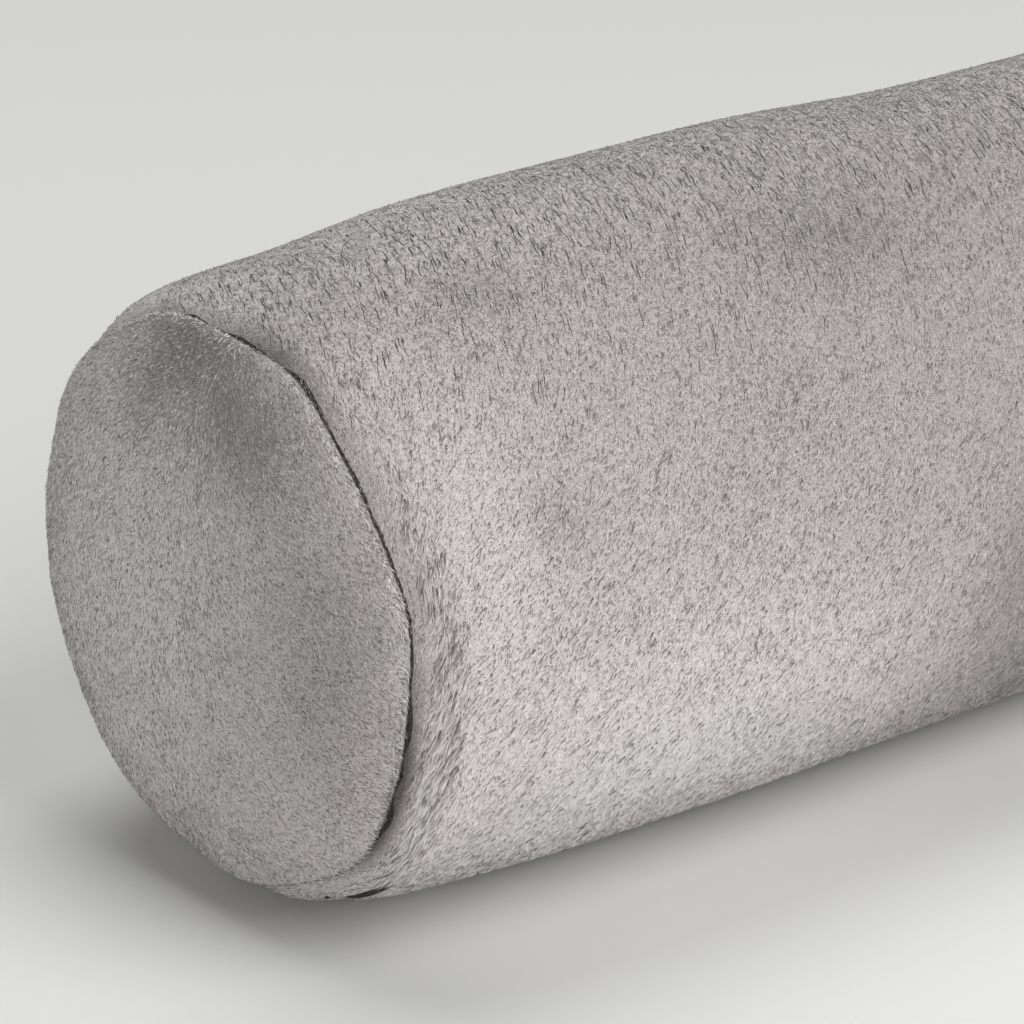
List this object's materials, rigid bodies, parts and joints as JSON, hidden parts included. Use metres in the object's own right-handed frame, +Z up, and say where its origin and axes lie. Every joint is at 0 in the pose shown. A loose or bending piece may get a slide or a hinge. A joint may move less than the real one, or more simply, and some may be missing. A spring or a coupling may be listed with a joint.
{
  "type": "neck roll pillow",
  "caption": "Round plush neck roll pillow: a filled grey barrel with drawn-in ends, sewn round end panels and a lengthwise closing seam.",
  "frame": {"origin": "on the surface that the roll lies on, under the middle of its box", "axes": "+X along the roll's length from the near end panel to the far one, +Y towards its back, +Z up"},
  "size_m": [0.4, 0.1606, 0.1468],
  "materials": {
    "plush": "short brushed plush pile, warm grey, matt with a soft sheen"
  },
  "bodies": {
    "root": {"body_roll": "plush", "end_panel_near": "plush", "end_panel_far": "plush"}
  },
  "joints": []
}
